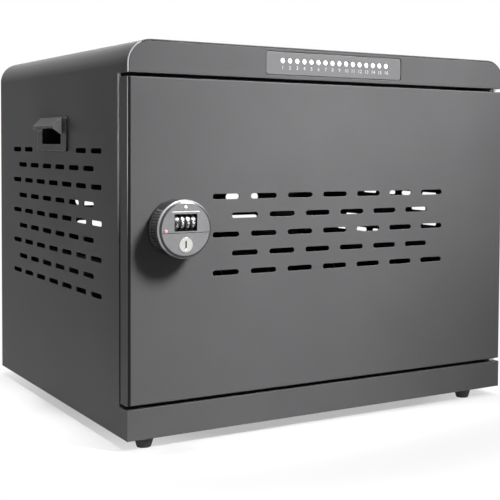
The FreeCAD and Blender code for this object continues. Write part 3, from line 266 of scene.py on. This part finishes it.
finishes = {
    # the shell's paint carries the painted highlight band on the left wall's front edge
    "shellBlack": finish((0.078, 0.078, 0.080), (0.42, 0.52), **powder, bands=jambHighlight,
                         bandColor=(0.85, 0.85, 0.86)),
    # the door's paint carries the painted shade line beside its left edge
    "doorBlack": finish((0.080, 0.080, 0.082), (0.42, 0.52), **powder, bands=doorEdgeShade,
                        bandColor=(0.008, 0.008, 0.008)),
    "rackBlack": finish((0.030, 0.030, 0.031), (0.58, 0.72), specular=0.04, roundEdge=0.0004),
    # the handle hood's rubbed edges are part wear, part painted highlight of its lit edges
    "handleBlack": finish((0.028, 0.028, 0.030), (0.34, 0.46), grainScale=2200.0, bump=0.25, specular=0.08,
                          rub=0.7, rubColor=(0.60, 0.60, 0.61), rubWidth=0.0018, roundEdge=0.0009),
    # painted highlight: the black hood's cheeks are pale to stand in for their lit face
    "cheekHighlight": finish((0.70, 0.70, 0.705), (0.34, 0.44), grainScale=2200.0, tint=0.12, roundEdge=0.0006),
    "footRubber": finish((0.022, 0.022, 0.022), (0.62, 0.80), grainScale=1600.0, bump=0.4, roundEdge=0.0006),
    "zincSteel": finish((0.56, 0.56, 0.55), (0.28, 0.42), metallic=1.0, grainScale=700.0, cloudScale=60.0,
                        roundEdge=0.0003),
    "blackOxide": finish((0.045, 0.045, 0.045), (0.34, 0.48), metallic=0.6, roundEdge=0.0003),
    "lensGrey": finish((0.102, 0.102, 0.105), (0.34, 0.42), tint=0.04, grainScale=2600.0, bump=0.08,
                       roundEdge=0.0004),
    "lampResin": finish((0.86, 0.86, 0.84), (0.18, 0.28), tint=0.03, bump=0.04, glow=0.9),
    "boardGreen": finish((0.015, 0.12, 0.045), (0.25, 0.40), tint=0.2, grainScale=320.0, cloudScale=90.0),
    "galvanised": finish((0.42, 0.43, 0.44), (0.30, 0.55), metallic=0.9, tint=0.25, grainScale=160.0,
                         cloudScale=70.0, bump=0.06),
    "supplyCase": finish((0.50, 0.51, 0.52), (0.35, 0.5), metallic=0.9, tint=0.1, roundEdge=0.0006),
    "socketNickel": finish((0.58, 0.57, 0.54), (0.22, 0.34), metallic=1.0, roundEdge=0.0002),
    "inletPlastic": finish((0.025, 0.025, 0.026), (0.32, 0.45), grainScale=2000.0, roundEdge=0.0006),
    "bladeBrass": finish((0.62, 0.52, 0.30), (0.22, 0.35), metallic=1.0),
    "leadSheath": finish((0.020, 0.020, 0.021), (0.45, 0.6), grainScale=1500.0),
    "bushNylon": finish((0.72, 0.70, 0.64), (0.40, 0.5), tint=0.04, roundEdge=0.0003),
    # the lock body's rubbed edges are part wear, part painted highlight on the grip ridges
    "lockEnamel": finish((0.016, 0.016, 0.017), (0.30, 0.42), tint=0.10, grainScale=1800.0, bump=0.10,
                         rub=0.5, rubColor=(0.16, 0.16, 0.165), rubWidth=0.0004, roundEdge=0.0004,
                         coat=0.15, coatRough=0.15),
    "lockFace": finish((0.185, 0.185, 0.19), (0.34, 0.46), metallic=0.35, tint=0.12, grainScale=2400.0,
                       cloudScale=260.0, bump=0.14),
    "lockRim": finish((0.45, 0.45, 0.45), (0.26, 0.36), metallic=0.6, tint=0.10, cloudScale=300.0),
    # painted highlight on the crests of the grip flutes
    "fluteHighlight": finish((0.11, 0.11, 0.113), (0.34, 0.46), tint=0.12, grainScale=1800.0, specular=0.3),
    "edgeShade": finish((0.012, 0.012, 0.012), (0.55, 0.70), specular=0.1),
    # painted highlight on the shell's edge round the upper left corner
    "cornerHighlight": finish((0.34, 0.34, 0.345), (0.28, 0.40), metallic=0.2, tint=0.15, cloudScale=40.0),
    # painted highlight on the left front edges of the door and the shell
    "edgeHighlight": finish((0.80, 0.80, 0.81), (0.26, 0.36), metallic=0.3, tint=0.10, cloudScale=40.0,
                         bands=highlightFadeLow, bandColor=(0.08, 0.08, 0.08)),
    "wheelBlack": finish((0.030, 0.030, 0.032), (0.28, 0.40), roundEdge=0.0003),
    "keyNickel": finish((0.72, 0.71, 0.69), (0.20, 0.32), metallic=1.0, grainScale=1200.0, cloudScale=200.0,
                        roundEdge=0.0004),
}
surfaces = {name: makeFinish(name, look) for name, look in finishes.items()}

slotFinish = {
    "shell_paint": "shellBlack", "door_paint": "doorBlack", "rack_paint": "rackBlack",
    "handle_plastic": "handleBlack", "foot_rubber": "footRubber", "zinc_steel": "zincSteel",
    "black_steel": "blackOxide", "lens_plastic": "lensGrey", "lamp_resin": "lampResin",
    "board_laminate": "boardGreen", "galvanised": "galvanised", "supply_case": "supplyCase",
    "socket_shell": "socketNickel", "inlet_plastic": "inletPlastic", "blade_brass": "bladeBrass",
    "lead_sheath": "leadSheath", "bush_nylon": "bushNylon", "lock_black": "lockEnamel",
    "wheel_black": "wheelBlack", "key_metal": "keyNickel",
}
slotOfNode = {part["node"]: part["material_slot"] for part in frame["record"]["subparts"]}
for node, made in frame["nodes"].items():
    made.data.materials.clear()
    made.data.materials.append(surfaces[slotFinish[slotOfNode[node]]])
print("finishes on the frame:", len(surfaces))


# faces that wear another finish than the rest of their node

def paintFaces(node, look, test):
    # test takes the middle and the normal of a face
    mesh = frame["nodes"][node].data
    mesh.materials.append(surfaces[look])
    painted = 0
    for face in mesh.polygons:
        if test(face.center, face.normal):
            face.material_index = len(mesh.materials) - 1
            painted += 1
    print(look, "on", painted, "faces of", node)


# share of a normal along Y on a face that looks to the front or the back
squareOn = 0.9
doorEdge = {"width": 0.002, "side": -0.98, "half": -0.6, "front": -0.1}


def isOnDoorEdge(middle, normal):
    # rounded front edge on the side that opens
    return normal.y < doorEdge["front"] and middle.x < doorLow.x + doorEdge["width"]


def isRubbedDoorEdge(middle, normal):
    # outer half of that edge, painted with a highlight
    return doorEdge["side"] < normal.x < doorEdge["half"] and isOnDoorEdge(middle, normal)


def isGrimyDoorEdge(middle, normal):
    # inner half of the same edge, painted with shade
    return doorEdge["half"] < normal.x < doorEdge["front"] and isOnDoorEdge(middle, normal)


shellEdge = {"depth": 0.020, "width": 0.0015, "cornerWidth": 0.014, "cornerDrop": 0.030}


def isRubbedShellEdge(middle, normal):
    # front edge of the folded sheet down the left side, painted with a highlight
    atFront = normal.y < -squareOn and middle.y < shellLow.y + shellEdge["depth"]
    return atFront and middle.x < shellLow.x + shellEdge["width"]


def isRubbedCorner(middle, normal):
    # the same edge round the upper left corner, painted with a highlight
    atLeft = middle.x < shellLow.x + shellEdge["cornerWidth"]
    return normal.y < -squareOn and atLeft and middle.z > shellHigh.z - shellEdge["cornerDrop"]


lensGap = {"width": 0.002, "wall": 0.5}


def isLensGap(middle, normal):
    # walls of the narrow gap round the lens plate, painted dark as shade
    width = lensGap["width"]
    inWidth = lensLow.x - width < middle.x < lensHigh.x + width
    inHeight = lensLow.z - width < middle.z < lensHigh.z + width
    return abs(normal.y) < lensGap["wall"] and inWidth and inHeight


handleHood = {"clear": 0.0022}


def isCheek(middle, normal):
    # front and rear faces of the hood, outside the shell, painted near white as a highlight
    return abs(normal.y) > squareOn and abs(middle.x) > shellHigh.x + handleHood["clear"]


lockZones = {"faceNormal": -0.97, "faceDepth": 0.0002, "rimNormals": (-0.7, -0.3), "rimDepth": 0.0035,
             "sideNormal": 0.2, "fluteRise": 0.0175, "crestDepth": 0.0004}


def isLockFace(middle, normal):
    # flat front of the knob
    return normal.y < lockZones["faceNormal"] and middle.y < knobLow.y + lockZones["faceDepth"]


def isLockRim(middle, normal):
    # slanting edge round that front
    steep, shallow = lockZones["rimNormals"]
    return steep < normal.y < shallow and middle.y < knobLow.y + lockZones["rimDepth"]


def isFluteCrest(middle, normal):
    # outermost faces between the grip flutes, not those of the plain top and foot of the knob; painted
    # lighter as highlights on the ridges
    rise = middle.z - (knobLow.z + knobHigh.z) / 2
    reach = math.hypot(middle.x - (knobLow.x + knobHigh.x) / 2, rise)
    crest = (knobHigh.x - knobLow.x) / 2 - lockZones["crestDepth"]
    return abs(normal.y) < lockZones["sideNormal"] and abs(rise) < lockZones["fluteRise"] and reach > crest


# door's left edge: painted highlight on its outer half, painted shade on its inner half
paintFaces("door_panel", "edgeHighlight", isRubbedDoorEdge)
paintFaces("door_panel", "edgeShade", isGrimyDoorEdge)
# painted highlight on the handle cheeks
paintFaces("handle_left", "cheekHighlight", isCheek)
paintFaces("handle_right", "cheekHighlight", isCheek)
# painted highlight down the shell's front edge and round its upper left corner
paintFaces("outer_wrap", "edgeHighlight", isRubbedShellEdge)
paintFaces("outer_wrap", "cornerHighlight", isRubbedCorner)
# painted shade in the gap round the lens plate
paintFaces("header_panel", "edgeShade", isLensGap)
paintFaces("indicator_panel", "edgeShade", isLensGap)
paintFaces("lock_knob", "lockFace", isLockFace)
paintFaces("lock_knob", "lockRim", isLockRim)
# painted highlights on the flute crests
paintFaces("lock_knob", "fluteHighlight", isFluteCrest)


# plain prints: numerals of the lamp strip and of the lock's wheels

inkGrain = {"tint": 0.05, "grainScale": 3000.0, "cloudScale": 400.0, "bump": 0.1, "bumpDepth": 0.0001}


def makeInk(name, look):
    return makeFinish(name, finish(look["color"], look["rough"], **inkGrain))


# sizePerHeight: font size of a numeral one high
numeralLook = {"sizePerHeight": 1.38, "steps": 3, "thick": 0.00004}


def numeralMesh(text, height):
    # flat outline of a numeral, centred, facing +Z before it is placed
    curve = bpy.data.curves.new("numeral", "FONT")
    curve.body = text
    curve.align_x = "CENTER"
    curve.align_y = "CENTER"
    curve.size = height * numeralLook["sizePerHeight"]
    curve.resolution_u = numeralLook["steps"]
    curve.extrude = numeralLook["thick"]
    holder = bpy.data.objects.new("numeral", curve)
    mesh = bpy.data.meshes.new_from_object(holder)
    bpy.data.objects.remove(holder)
    bpy.data.curves.remove(curve)
    return mesh


def joinMeshes(name, meshes, material, body):
    # meshes: (mesh, function that moves each corner)
    whole = bmesh.new()
    for mesh, move in meshes:
        part = bmesh.new()
        part.from_mesh(mesh)
        for vertex in part.verts:
            vertex.co = move(vertex.co)
        part.to_mesh(mesh)
        part.free()
        whole.from_mesh(mesh)
        bpy.data.meshes.remove(mesh)
    bmesh.ops.recalc_face_normals(whole, faces=whole.faces)
    joined = bpy.data.meshes.new(name)
    whole.to_mesh(joined)
    whole.free()
    joined.materials.append(material)
    piece = bpy.data.objects.new(name, joined)
    bpy.context.scene.collection.objects.link(piece)
    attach(piece, body)


lampNumbers = {"height": 0.0036, "drop": 0.0066, "pitch": 0.00805, "count": 16, "lift": 0.00003,
               "color": (0.44, 0.44, 0.44), "rough": (0.45, 0.58)}


def makeLampNumbers(look):
    low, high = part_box("indicator_lamps")
    level = (low.z + high.z) / 2 - look["drop"]
    first = (low.x + high.x) / 2 - look["pitch"] * (look["count"] - 1) / 2
    meshes = []
    for i in range(look["count"]):
        middle = first + i * look["pitch"]

        def move(co, middle=middle):
            return Vector((middle + co.x, lensLow.y - look["lift"] - co.z, level + co.y))
        meshes.append((numeralMesh(str(i + 1), look["height"]), move))
    joinMeshes("lampNumbers", meshes, makeInk("numberPrint", look), "cabinet")


wheelNumbers = {"height": 0.0036, "lift": 0.00002, "count": 10, "shown": (1, 5, 5, 6),
                "color": (0.86, 0.86, 0.84), "rough": (0.40, 0.53)}
wheelInk = makeInk("wheelPrint", wheelNumbers)


def makeWheelNumbers(index, look):
    low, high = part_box("number_wheel_%d" % index)
    middle = (low + high) / 2
    radius = (high.z - low.z) / 2 + look["lift"]
    meshes = []
    for i in range(look["count"]):
        turn = 2 * math.pi * i / look["count"]

        def move(co, turn=turn):
            angle = turn + co.y / radius
            reach = radius + co.z
            return Vector((middle.x + co.x, middle.y - reach * math.cos(angle),
                           middle.z + reach * math.sin(angle)))
        digit = (look["shown"][index - 1] + i) % look["count"]
        meshes.append((numeralMesh(str(digit), look["height"]), move))
    joinMeshes("wheelNumbers%d" % index, meshes, wheelInk, "wheel_%d" % index)


makeLampNumbers(lampNumbers)
for index in range(1, len(wheelNumbers["shown"]) + 1):
    makeWheelNumbers(index, wheelNumbers)
print("numerals printed")


# lock marks: a pale dot, a painted highlight as a pale line above the wheels, a red dot at the end of the
# dark line

lockMarks = {
    "paleDot": {"across": 0.0032, "length": 0.0, "side": -0.0002, "rise": 0.0195,
                "color": (0.72, 0.84, 0.74), "rough": (0.30, 0.43)},
    # painted highlight of the upper edge of the wheels' window, drawn as a pale line
    "paleLineHighlight": {"across": 0.0009, "length": 0.026, "side": 0.0, "rise": 0.0155,
                 "color": (0.55, 0.55, 0.55), "rough": (0.30, 0.43)},
    "redDot": {"across": 0.0034, "length": 0.0, "side": -0.0190, "rise": -0.0012,
               "color": (0.80, 0.30, 0.32), "rough": (0.30, 0.43)},
}
# crown: height of a mark one across; dome: share of a quarter turn; sink: depth of its foot in the face
markShape = {"rings": 4, "around": 20, "crown": 0.12, "dome": 0.85, "sink": 0.00012}


def makeMark(name, look):
    # low dome with a round or a stretched outline
    low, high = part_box("lock_knob")
    middleX, middleZ = (low.x + high.x) / 2, (low.z + high.z) / 2
    rings, around = markShape["rings"], markShape["around"]
    crown = look["across"] * markShape["crown"]
    shape = bmesh.new()
    loops = []
    for ring in range(rings):
        climb = ring / (rings - 1) * math.pi / 2 * markShape["dome"]
        reach = look["across"] / 2 * math.cos(climb)
        out = crown * math.sin(climb) if ring else -markShape["sink"]
        loop = []
        for k in range(around):
            turn = 2 * math.pi * (k + 0.5) / around
            stretch = math.copysign(look["length"] / 2, math.cos(turn))
            loop.append(shape.verts.new((middleX + look["side"] + stretch + reach * math.cos(turn),
                                         low.y - out,
                                         middleZ + look["rise"] + reach * math.sin(turn))))
        loops.append(loop)
    for inner, outer in zip(loops, loops[1:]):
        for k in range(around):
            shape.faces.new((inner[k], inner[(k + 1) % around], outer[(k + 1) % around], outer[k]))
    shape.faces.new(loops[-1])
    shape.faces.new(list(reversed(loops[0])))
    bmesh.ops.recalc_face_normals(shape, faces=shape.faces)
    mesh = bpy.data.meshes.new(name)
    shape.to_mesh(mesh)
    shape.free()
    for face in mesh.polygons:
        face.use_smooth = True
    mesh.materials.append(makeInk(name + "Paint", look))
    piece = bpy.data.objects.new(name, mesh)
    bpy.context.scene.collection.objects.link(piece)
    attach(piece, "knob")


for name, look in lockMarks.items():
    makeMark(name, look)
print("lock marked")


# stage: white floor and room, soft lamps, camera where the photograph was taken

# shadow: share of white in the floor under the cabinet, which is all white from clearTo outwards
stageLook = {"floorColor": (0.62, 0.62, 0.62, 1), "floorRough": 0.9, "floorSpecular": 0.1, "reach": 30.0,
             "drop": 0.0002, "shadow": 0.45, "clearFrom": 0.20, "clearTo": 0.37,
             "room": 0.10, "white": (1, 1, 1, 1)}


def makeFloor(look):
    mesh = bpy.data.meshes.new("floor")
    reach = look["reach"]
    mesh.from_pydata([(-reach, -reach, 0), (reach, -reach, 0), (reach, reach, 0), (-reach, reach, 0)], [],
                     [(0, 1, 2, 3)])
    floor = bpy.data.objects.new("floor", mesh)
    floor.location.z = -look["drop"]
    bpy.context.scene.collection.objects.link(floor)
    material, nodes, links, shader = startMaterial("paleFloor")
    tree = material.node_tree
    shader.inputs["Base Color"].default_value = look["floorColor"]
    shader.inputs["Roughness"].default_value = look["floorRough"]
    shader.inputs["Specular IOR Level"].default_value = look["floorSpecular"]
    glow = nodes.new("ShaderNodeEmission")
    place = nodes.new("ShaderNodeTexCoord")
    away = nodes.new("ShaderNodeVectorMath")
    away.operation = "LENGTH"
    links.new(place.outputs["Object"], away.inputs[0])
    fade = addMap(tree, away.outputs["Value"], look["shadow"], 1.0, look["clearFrom"], look["clearTo"])
    mix = nodes.new("ShaderNodeMixShader")
    links.new(addMath(tree, "MULTIPLY", addSeen(tree), fade), mix.inputs["Fac"])
    links.new(shader.outputs["BSDF"], mix.inputs[1])
    links.new(glow.outputs["Emission"], mix.inputs[2])
    links.new(mix.outputs["Shader"], nodes["Material Output"].inputs["Surface"])
    mesh.materials.append(material)


def makeRoom(look):
    world = bpy.data.worlds.new("room")
    bpy.context.scene.world = world
    world.use_nodes = True
    tree = world.node_tree
    nodes, links = tree.nodes, tree.links
    room = nodes["Background"]
    room.inputs["Strength"].default_value = look["room"]
    room.inputs["Color"].default_value = look["white"]
    white = nodes.new("ShaderNodeBackground")
    white.inputs["Color"].default_value = look["white"]
    mix = nodes.new("ShaderNodeMixShader")
    links.new(addSeen(tree), mix.inputs["Fac"])
    links.new(room.outputs["Background"], mix.inputs[1])
    links.new(white.outputs["Background"], mix.inputs[2])
    links.new(mix.outputs["Shader"], nodes["World Output"].inputs["Surface"])


lamps = {
    "keyLamp": {"at": (0.52, -0.84, 1.14), "aim": (0.045, -0.18, 0.425), "size": (0.54, 0.54), "power": 3.8,
                "spread": 27.0},
    "topLamp": {"at": (0.0, 0.02, 1.25), "aim": (0.0, 0.021, 0.0), "size": (0.60, 0.46), "power": 2.5,
                "spread": 20.0},
    "backLamp": {"at": (0.75, 1.35, 0.85), "aim": (0.05, 0.2, 0.2), "size": (0.9, 0.9), "power": 4.0,
                 "spread": 80.0},
}


def makeLamp(name, look):
    data = bpy.data.lights.new(name, "AREA")
    data.energy = look["power"]
    data.shape = "RECTANGLE"
    data.size, data.size_y = look["size"]
    data.spread = math.radians(look["spread"])
    lamp = bpy.data.objects.new(name, data)
    lamp.location = look["at"]
    facing = Vector(look["aim"]) - lamp.location
    lamp.rotation_euler = facing.to_track_quat("-Z", "Y").to_euler()
    bpy.context.scene.collection.objects.link(lamp)


# focal, middle and frame are in pixels of the photograph
viewLook = {"at": (-0.5752, -1.0400, 0.2707), "yaw": 32.316, "pitch": 2.534, "roll": 0.437,
            "focal": 1061.7, "middle": (308.77, 192.17), "frame": 500.0, "sensor": 36.0}


def makeCamera(look):
    yaw, pitch, roll = (math.radians(look[name]) for name in ("yaw", "pitch", "roll"))
    right = Vector((math.cos(yaw), -math.sin(yaw), 0))
    level = Vector((math.sin(yaw), math.cos(yaw), 0))
    upright = Vector((0, 0, 1))
    ahead = level * math.cos(pitch) - upright * math.sin(pitch)
    above = upright * math.cos(pitch) + level * math.sin(pitch)
    across = right * math.cos(roll) + above * math.sin(roll)
    above = above * math.cos(roll) - right * math.sin(roll)
    data = bpy.data.cameras.new("camera")
    data.sensor_width = look["sensor"]
    data.lens = look["focal"] / look["frame"] * data.sensor_width
    data.shift_x = 0.5 - look["middle"][0] / look["frame"]
    data.shift_y = look["middle"][1] / look["frame"] - 0.5
    camera = bpy.data.objects.new("camera", data)
    turn = Matrix((across, above, -ahead)).transposed().to_4x4()
    camera.matrix_world = Matrix.Translation(Vector(look["at"])) @ turn
    bpy.context.scene.collection.objects.link(camera)
    bpy.context.scene.camera = camera


makeFloor(stageLook)
makeRoom(stageLook)
for name, look in lamps.items():
    makeLamp(name, look)
makeCamera(viewLook)
bpy.context.scene.view_settings.view_transform = "Standard"
print("stage set")
